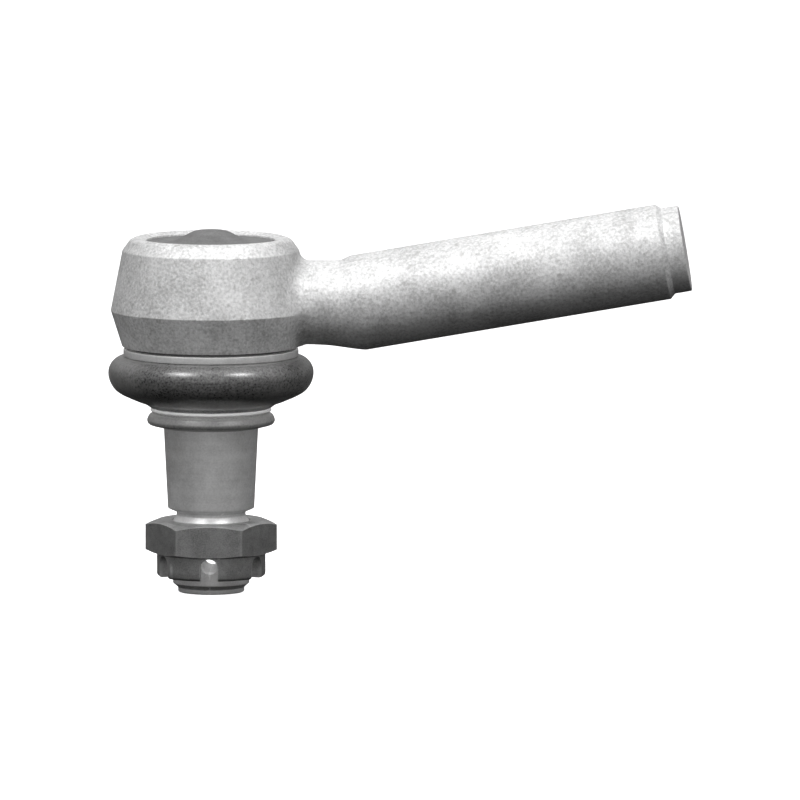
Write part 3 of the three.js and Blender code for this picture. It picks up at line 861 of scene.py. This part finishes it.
def make_cover(material):
    """The pressed plate in the socket's top, raised to a low dome in its middle."""
    inner = COVER_BOTTOM
    profile = [
        (0, DOME_TOP - 2.0),
        (3.6, DOME_TOP - 2.5),
        (9.0, inner),
        (COVER_RADIUS, inner),
        (COVER_RADIUS, COVER_TOP),
        (12.6, COVER_TOP),
        (9.4, COVER_TOP + 1.4),
        (5.0, DOME_TOP - 0.42),
        (0, DOME_TOP),
    ]
    outline = rounded(profile, {2: 0.8, 3: 0.2, 4: 0.2, 5: 3.5, 6: 2.5, 7: 5.0}, steps=7)
    points, faces = lathe(divided(outline, 1.2))
    cover = build("closing_cover_plate", points, faces, "housing", material, "closing_cover")
    tidy_mesh(cover)
    return cover


def make_ring(name, node, corners, radius, body, material):
    """A turned ring from the corners of its section, rounded by the given radius or radii."""
    outline = rounded(corners, radius, steps=5, closed=True)
    points, faces = lathe(divided(outline, 1.5, closed=True), closed=True)
    ring = build(name, points, faces, body, material, node)
    tidy_mesh(ring)
    return ring


def make_rings(band, bright, lip):
    """The band round the boot's collar, the bright ring under the boot, and the lip under that."""
    inner = CLAMP_RADIUS - CLAMP_WALL
    edge_height = 0.3
    bevel = 0.7
    make_ring(
        "boot_upper_clamp_band", "boot_upper_clamp_ring",
        [(inner, CLAMP_BOTTOM), (CLAMP_RADIUS, CLAMP_BOTTOM), (CLAMP_RADIUS, CLAMP_TOP), (inner, CLAMP_TOP)],
        0.25, "housing", band,
    )
    make_ring(
        "boot_lower_clamp_disc", "boot_lower_clamp_ring",
        [
            (RING_BORE, RING_BOTTOM),
            (RING_RADIUS, RING_BOTTOM),
            (RING_RADIUS, RING_BOTTOM + edge_height),
            (RING_RADIUS - bevel, RING_TOP),
            (RING_BORE, RING_TOP),
        ],
        0.12, "boot_ring", bright,
    )
    wall = LIP_RADIUS - RING_BORE
    height = LIP_TOP - LIP_BOTTOM
    shoulder = RING_BORE + 3.2
    make_ring(
        "boot_seal_lip_ring", "boot_seal_lip",
        [
            (RING_BORE, LIP_BOTTOM),
            (RING_BORE + wall * 0.9, LIP_BOTTOM + height * 0.22),
            (LIP_RADIUS, LIP_BOTTOM + height * 0.45),
            (RING_BORE + wall * 0.86, LIP_BOTTOM + height * 0.78),
            (shoulder, LIP_BOTTOM + height * 0.9),
            (shoulder, LIP_TOP),
            (RING_BORE, LIP_TOP),
        ],
        {0: 0.3, 1: 1.0, 2: 1.0, 3: 1.2, 4: 0.3, 5: 0.2, 6: 0.2}, "boot_ring", lip,
    )


# ------------------------------------------------------------------ boot


def polar_point(radius, height, reach, degrees):
    """A profile point on an arc round (radius, height)."""
    angle = math.radians(degrees)
    return radius + reach * math.cos(angle), height + reach * math.sin(angle)


def make_boot(material):
    """A rubber shell: collar under the clamp band, bulge, and a bead on the lower ring."""
    collar_outer = CLAMP_RADIUS - CLAMP_WALL - FITTING_GAP
    collar_inner = collar_outer - COLLAR_WALL
    collar_bottom = NECK_BOTTOM + 0.9
    wall = 1.8
    crown, belly = 5.2, 7.5
    middle = CLAMP_BOTTOM - crown - 0.1
    upper = [polar_point(BULGE_RADIUS - crown, middle, crown, angle) for angle in (86, 64, 42, 20, 0)]
    lower = [polar_point(BULGE_RADIUS - belly, middle, belly, angle) for angle in (-18, -36, -54)]
    foot = [
        (RING_RADIUS + 4.6, BOOT_BOTTOM + 2.45),
        (RING_RADIUS + 1.6, BOOT_BOTTOM + 1.3),
        (RING_RADIUS + 0.1, BOOT_BOTTOM + 0.25),
    ]
    line = spline(upper + lower + foot, 7)
    inside = []
    for before, here, after in zip(line, line[1:], line[2:]):
        along = (Vector(after) - Vector(before)).normalized()
        inside.append((here[0] + along.y * wall, here[1] - along.x * wall))
    inside = [p for p in inside if p[1] > BOOT_BOTTOM + 2.6 or p[0] > RING_RADIUS + 2]
    section = [
        (RING_BORE, BOOT_BOTTOM),
        (RING_RADIUS - 0.6, BOOT_BOTTOM),
        *reversed(line),
        (collar_outer, CLAMP_BOTTOM - 0.05),
        (collar_outer, CLAMP_TOP - 0.15),
        (collar_outer - 0.3, CLAMP_TOP),
        (collar_inner, CLAMP_TOP),
        (collar_inner, collar_bottom),
        *inside,
        (RING_BORE, BOOT_BOTTOM + 2.2),
    ]
    points, faces = lathe(section, closed=True)
    boot = build("dust_boot_shell", points, faces, None, material, "dust_boot")
    tidy_mesh(boot, 50)
    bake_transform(boot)
    return boot


# ------------------------------------------------------------------ ball stud


def make_stud(material):
    """The stud turned in one: thread end, undercut, taper, land, waist and ball."""
    thread = 12.0
    thread_top = 22.0
    undercut_length = 3.3
    cone_entry = 1.2
    cone_length = 29
    taper = 0.05
    land = 5
    shoulder = 6.5
    undercut = thread - 1.2
    cone_bottom = thread_top + undercut_length + cone_entry
    cone_top = cone_bottom + cone_length
    cone_small = CONE_RADIUS - cone_length * taper
    land_top = cone_top + land
    waist = 9.8
    waist_bottom = land_top + shoulder
    ball = 17.0
    flat = 8.5
    corners = [
        (0, 0),
        (thread - 1.6, 0),
        (thread - 1.6, 1.5),
        (thread, 2.85),
        (thread, thread_top + 0.4),
        (undercut, thread_top + 2.3),
        (undercut, thread_top + undercut_length),
        (cone_small, cone_bottom),
        (CONE_RADIUS, cone_top),
        (CONE_RADIUS, land_top),
        (waist + 2.0, land_top + 2.3),
        (waist, waist_bottom),
        (waist, BALL_CENTRE - ball * math.cos(math.asin(waist / ball)) - 0.5),
    ]
    radii = {1: 0.5, 2: 0.3, 3: 0.4, 4: 0.2, 5: 0.5, 6: 0.5, 7: 0.5, 8: 1.0, 9: 0.8, 10: 2.5, 11: 2.0}
    outline = divided(rounded(corners, radii, steps=5), 1.4)
    start = math.asin(waist / ball)
    end = math.pi - math.asin(flat / ball)
    for step in range(25):
        angle = start + (end - start) * step / 24
        outline.append((ball * math.sin(angle), BALL_CENTRE - ball * math.cos(angle)))
    outline.append((0, BALL_CENTRE + ball * math.cos(math.asin(flat / ball))))
    points, faces = lathe(outline)
    stud = build("ball_stud_shaft", points, faces, "stud", material, "ball_stud")
    tidy_mesh(stud)
    drill_cotter_hole(stud, thread)
    return stud


def drill_cotter_hole(stud, thread):
    """Cuts the hole for the split pin along Y, with a small countersink at both mouths."""
    radius = 2.5
    height = 9.8
    flare = 1.0
    overrun = 0.4
    chamfer = 0.35
    mouth = thread - chamfer
    profile = [
        (radius + flare, -thread - overrun),
        (radius, -mouth + chamfer),
        (radius, mouth - chamfer),
        (radius + flare, thread + overrun),
    ]
    count = 64
    points = []
    for size, along in profile:
        for step in range(count):
            angle = 2 * math.pi * step / count
            points.append(Vector((size * math.cos(angle), along, height + size * math.sin(angle))) * MM)
    faces = []
    for ring in range(len(profile) - 1):
        for step in range(count):
            following = (step + 1) % count
            faces.append([ring * count + step, ring * count + following,
                          (ring + 1) * count + following, (ring + 1) * count + step])
    faces.append(list(range(count))[::-1])
    faces.append(list(range((len(profile) - 1) * count, len(profile) * count)))
    mesh = bpy.data.meshes.new("cotter_drill")
    mesh.from_pydata(points, [], faces)
    drill = bpy.data.objects.new("cotter_drill", mesh)
    bpy.context.scene.collection.objects.link(drill)
    tidy_mesh(drill)
    cut = stud.modifiers.new("cotter_hole", "BOOLEAN")
    cut.operation = "DIFFERENCE"
    cut.solver = "EXACT"
    cut.object = drill
    apply_modifiers(stud)
    bpy.data.objects.remove(drill, do_unlink=True)
    stud.data.shade_smooth()
    stud.data.set_sharp_from_angle(angle=math.radians(32))


def apply_modifiers(piece):
    """Makes the evaluated mesh the piece's own and drops its modifiers."""
    bpy.context.view_layer.update()
    evaluated = piece.evaluated_get(bpy.context.evaluated_depsgraph_get())
    mesh = bpy.data.meshes.new_from_object(evaluated)
    piece.modifiers.clear()
    piece.data = mesh


# ------------------------------------------------------------------ castle nut


def hex_radius(angle, rounding=0.7):
    """Distance from the axis to a hexagon's side with softened corners, corners on the X axis."""
    sector = math.pi / 3
    off_corner = abs((angle + sector / 2) % sector - sector / 2)
    off_flat = sector / 2 - off_corner
    plain = NUT_APOTHEM / math.cos(off_flat)
    centre = (NUT_APOTHEM - rounding) / math.cos(sector / 2)
    bow = centre * math.cos(off_corner) + math.sqrt(
        max(0.0, rounding ** 2 - (centre * math.sin(off_corner)) ** 2)
    )
    touches = math.atan2(rounding * math.sin(sector / 2), centre + rounding * math.cos(sector / 2))
    return bow if off_corner < touches else plain


def make_nut(material):
    """Six equal sectors, each from one slot's middle to the next, turned about Z."""
    bore = 12.2
    crown = bore + 4.85
    crown_height = 7.2
    seat_inset = 1.2
    countersink = 0.3
    slot_depth = 7.0
    hex_bottom = NUT_BOTTOM + crown_height
    seat = NUT_APOTHEM - seat_inset
    slope = math.tan(math.radians(22))
    lower_slope = math.tan(math.radians(15))
    half = 2.75
    slot_centre = NUT_BOTTOM + slot_depth - half
    columns = 40
    arc_steps = 8
    slot_rows = [(half, NUT_BOTTOM + 0.0), (half, NUT_BOTTOM + 0.12), (half, NUT_BOTTOM + 0.5)]
    slot_rows += [(half, NUT_BOTTOM + 0.9), (half, NUT_BOTTOM + 2.5), (half, slot_centre)]
    for step in range(1, arc_steps + 1):
        angle = 0.5 * math.pi * step / arc_steps
        slot_rows.append((half * math.cos(angle), slot_centre + half * math.sin(angle)))
    slot_rows[-1] = (0.0, slot_centre + half)

    def crown_radius(height):
        rise = height - NUT_BOTTOM
        return crown - max(0.0, 0.9 - rise) ** 2 / 0.9 * 0.8 if rise < 0.9 else crown

    points = []
    faces = []
    index = {}

    def point(place):
        key = tuple(round(v, 4) for v in place)
        if key not in index:
            index[key] = len(points)
            points.append(place)
        return index[key]

    def polar(radius, angle, height):
        return (radius * math.cos(angle), radius * math.sin(angle), height)

    def join_rows(strips):
        for lower, upper in zip(strips, strips[1:]):
            for column in range(len(lower) - 1):
                quad = [lower[column], lower[column + 1], upper[column + 1], upper[column]]
                face = [v for i, v in enumerate(quad) if v != quad[i - 1]]
                if len(set(face)) > 2:
                    faces.append(face)

    wall_shares = (0, 0.33, 0.66, 1)
    sector = math.pi / 3
    for side in range(6):
        slot_angle = math.pi / 6 + sector * side
        rows = []
        # Outer skin: slot part of the crown, then hexagon with its two chamfers, then the seat.
        shares = [column / columns for column in range(columns + 1)]
        for width, height in slot_rows:
            radius = crown_radius(height)
            edge = math.asin(width / radius)
            rows.append([
                polar(radius, slot_angle + edge + (sector - 2 * edge) * share, height) for share in shares
            ])
        angles = [slot_angle + sector * share for share in shares]
        rows.append([polar(crown, a, hex_bottom - 0.1) for a in angles])
        rows.append([polar(crown + 0.1, a, hex_bottom - 0.02) for a in angles])
        for blend in (0.0, 0.5, 1.0):
            row = []
            for a in angles:
                reach = hex_radius(a)
                radius = max(crown + 0.15, seat) + (reach - max(crown + 0.15, seat)) * blend
                row.append(polar(radius, a, hex_bottom + max(0.0, radius - seat) * lower_slope))
            rows.append(row)
        for blend in (0.02, 0.25, 0.5, 0.75, 0.98):
            row = []
            for a in angles:
                reach = hex_radius(a)
                bottom = hex_bottom + (reach - seat) * lower_slope
                top = NUT_TOP - (reach - seat) * slope
                row.append(polar(reach, a, bottom + (top - bottom) * blend))
            rows.append(row)
        for blend in (1.0, 0.5, 0.0):
            row = []
            for a in angles:
                radius = seat + (hex_radius(a) - seat) * blend
                row.append(polar(radius, a, NUT_TOP - (radius - seat) * slope))
            rows.append(row)
        for radius in (seat - 0.2, 15.0, bore + countersink):
            rows.append([polar(radius, a, NUT_TOP) for a in angles])
        rows.append([polar(bore, a, NUT_TOP - countersink) for a in angles])
        for share in (0.66, 0.33):
            low_bore = slot_centre + half
            height = low_bore + (NUT_TOP - countersink - low_bore) * share
            rows.append([polar(bore, a, height) for a in angles])
        for width, height in reversed(slot_rows):
            edge = math.asin(width / bore)
            rows.append([
                polar(bore, slot_angle + edge + (sector - 2 * edge) * share, height) for share in shares
            ])
        # Bottom face of the crown's tooth closes back to the first row.
        inner_row, outer_row = rows[-1], rows[0]
        for share in (0.33, 0.66):
            rows.append([
                tuple(i + (o - i) * share for i, o in zip(a, b)) for a, b in zip(inner_row, outer_row)
            ])
        rows.append(rows[0])
        made = [[point(place) for place in row] for row in rows]
        join_rows(made)
        # Slot walls, from the bore out to the crown, on both sides of this slot's middle.
        for mirror in (1, -1):
            wall = []
            for width, height in slot_rows:
                inner = polar(bore, slot_angle + mirror * math.asin(width / bore), height)
                radius = crown_radius(height)
                outer = polar(radius, slot_angle + mirror * math.asin(width / radius), height)
                wall.append([
                    tuple(i + (o - i) * share for i, o in zip(inner, outer)) for share in wall_shares
                ])
            join_rows([[point(place) for place in row] for row in wall])
    nut = build("castle_nut_body", points, faces, "stud", material, "castle_nut")
    tidy_mesh(nut, 28)
    return nut


# ------------------------------------------------------------------ camera, light, floor


def place_camera():
    """A long lens a little above the level of the part, turned slightly towards the shank."""
    target = Vector((59.3, 0, 60.6)) * MM
    azimuth = math.radians(1.8)
    elevation = math.radians(6.4)
    distance = 5.3
    direction = Vector((
        math.sin(azimuth) * math.cos(elevation),
        -math.cos(azimuth) * math.cos(elevation),
        math.sin(elevation),
    ))
    data = bpy.data.cameras.new("camera")
    data.sensor_width = 36
    data.lens = data.sensor_width * distance / 0.2508
    data.clip_start = 0.5
    data.clip_end = 100
    camera = bpy.data.objects.new("camera", data)
    camera.location = target + direction * distance
    camera.rotation_euler = (-direction).to_track_quat("-Z", "Y").to_euler()
    bpy.context.scene.collection.objects.link(camera)
    bpy.context.scene.camera = camera


def area_light(name, azimuth, elevation, distance, size, power, target, shadow=True):
    direction = Vector((
        math.sin(math.radians(azimuth)) * math.cos(math.radians(elevation)),
        -math.cos(math.radians(azimuth)) * math.cos(math.radians(elevation)),
        math.sin(math.radians(elevation)),
    ))
    data = bpy.data.lights.new(name, "AREA")
    data.shape = "DISK"
    data.size = size
    data.energy = power
    data.use_shadow = shadow
    light = bpy.data.objects.new(name, data)
    light.location = target + direction * distance
    light.rotation_euler = (-direction).to_track_quat("-Z", "Y").to_euler()
    light.visible_camera = False
    bpy.context.scene.collection.objects.link(light)
    return light


def place_lights():
    """Seven area lights in front, above and behind, and a world that is dark below.

    The two small keys and the low front fill cast no shadow. The soft pair beside the keys, the
    overhead and the back light do.
    """
    target = Vector((0.04, 0, 0.08))
    for side, turn in (("left", -42), ("right", 42)):
        area_light(f"key_{side}", turn, 48, 1.1, 0.26, 4.2, target, shadow=False)
    for side, turn in (("left", -42), ("right", 42)):
        area_light(f"soft_{side}", turn, 46, 1.1, 0.7, 1.2, target)
    area_light("overhead", 0, 86, 1.0, 0.9, 2.0, target)
    area_light("back", 180, 38, 1.4, 0.8, 0.8, target)
    area_light("front_fill", 4, 12, 2.4, 1.2, 3.0, target, shadow=False)
    world = bpy.data.worlds.new("studio")
    bpy.context.scene.world = world
    world.use_nodes = True
    nodes = world.node_tree.nodes
    links = world.node_tree.links
    place = nodes.new("ShaderNodeTexCoord")
    split = nodes.new("ShaderNodeSeparateXYZ")
    spread = nodes.new("ShaderNodeMapRange")
    ramp = nodes.new("ShaderNodeValToRGB")
    links.new(place.outputs["Generated"], split.inputs[0])
    links.new(split.outputs["Z"], spread.inputs["Value"])
    spread.inputs["From Min"].default_value = -1
    links.new(spread.outputs["Result"], ramp.inputs["Fac"])
    stops = ramp.color_ramp.elements
    stops[0].position, stops[0].color = 0.0, grey(0.02)
    stops[1].position, stops[1].color = 1.0, grey(1.0)
    for position, brightness in ((0.4, 0.05), (0.5, 0.22), (0.6, 0.45)):
        stops.new(position).color = grey(brightness)
    links.new(ramp.outputs["Color"], nodes["Background"].inputs["Color"])
    nodes["Background"].inputs["Strength"].default_value = 0.7


def place_floor():
    """A pale round studio floor that turns up into a low wall, well behind the camera as well."""
    flat_radius, wall_radius, wall_height, height = 5500.0, 6300.0, 1500.0, -0.2
    turn = wall_radius - flat_radius
    profile = [(0, height), (2000, height), (flat_radius, height)]
    for step in range(1, 13):
        angle = 0.5 * math.pi * step / 12
        profile.append((flat_radius + turn * math.sin(angle), height + turn * (1 - math.cos(angle))))
    profile.append((wall_radius, wall_height))
    points, faces = lathe(profile, around=96)
    mesh = bpy.data.meshes.new("studio_floor")
    mesh.from_pydata([Vector(point) * MM for point in points], [], faces)
    mesh.shade_smooth()
    floor = bpy.data.objects.new("studio_floor", mesh)
    bpy.context.scene.collection.objects.link(floor)
    look = Shading("pale_floor")
    look.value("Base Color", (0.8, 0.8, 0.8, 1))
    look.value("Roughness", 0.9)
    look.value("Specular IOR Level", 0.0)
    look.value("Emission Color", (1, 1, 1, 1))
    look.value("Emission Strength", 0.72)
    mesh.materials.append(look.material)
    floor.visible_diffuse = False
    floor.visible_glossy = False


# ------------------------------------------------------------------ the whole scene

bpy.context.scene.view_settings.view_transform = "Standard"

pressed = turned_steel("pressed_steel_look", 0.58, 0.76, metallic=0.45, roughness=0.45)
rubber = moulded_rubber("boot_rubber_look", 0.04, 0.17)
lip_rubber = moulded_rubber("lip_rubber_look", 0.22, 0.32)
cover_steel = turned_steel("cover_steel_look", 0.14, 0.22, metallic=0.4, roughness=0.5, stain=0.15, wear=0.08)

make_housing(forged_steel("forged_steel_look"))
make_cover(cover_steel)
make_rings(pressed, turned_steel("bright_steel_look", 0.9, 0.97, metallic=0.2, stain=0.05), lip_rubber)
make_boot(rubber)
make_stud(turned_steel("turned_steel_look", 0.5, 0.72, metallic=0.45, roughness=0.42))
make_nut(phosphated_steel("dark_steel_look"))

inner_looks = {
    "cover_seal_ring": nitrile("seal_rubber_look"),
    "disc_spring": blued_spring("spring_steel_look"),
    "upper_ball_seat": acetal("seat_plastic_look"),
}
inner_looks["lower_ball_seat"] = inner_looks["upper_ball_seat"]
for node, look in inner_looks.items():
    materials = bpy.data.objects[node].data.materials
    materials.clear()
    materials.append(look)

place_camera()
place_lights()
place_floor()
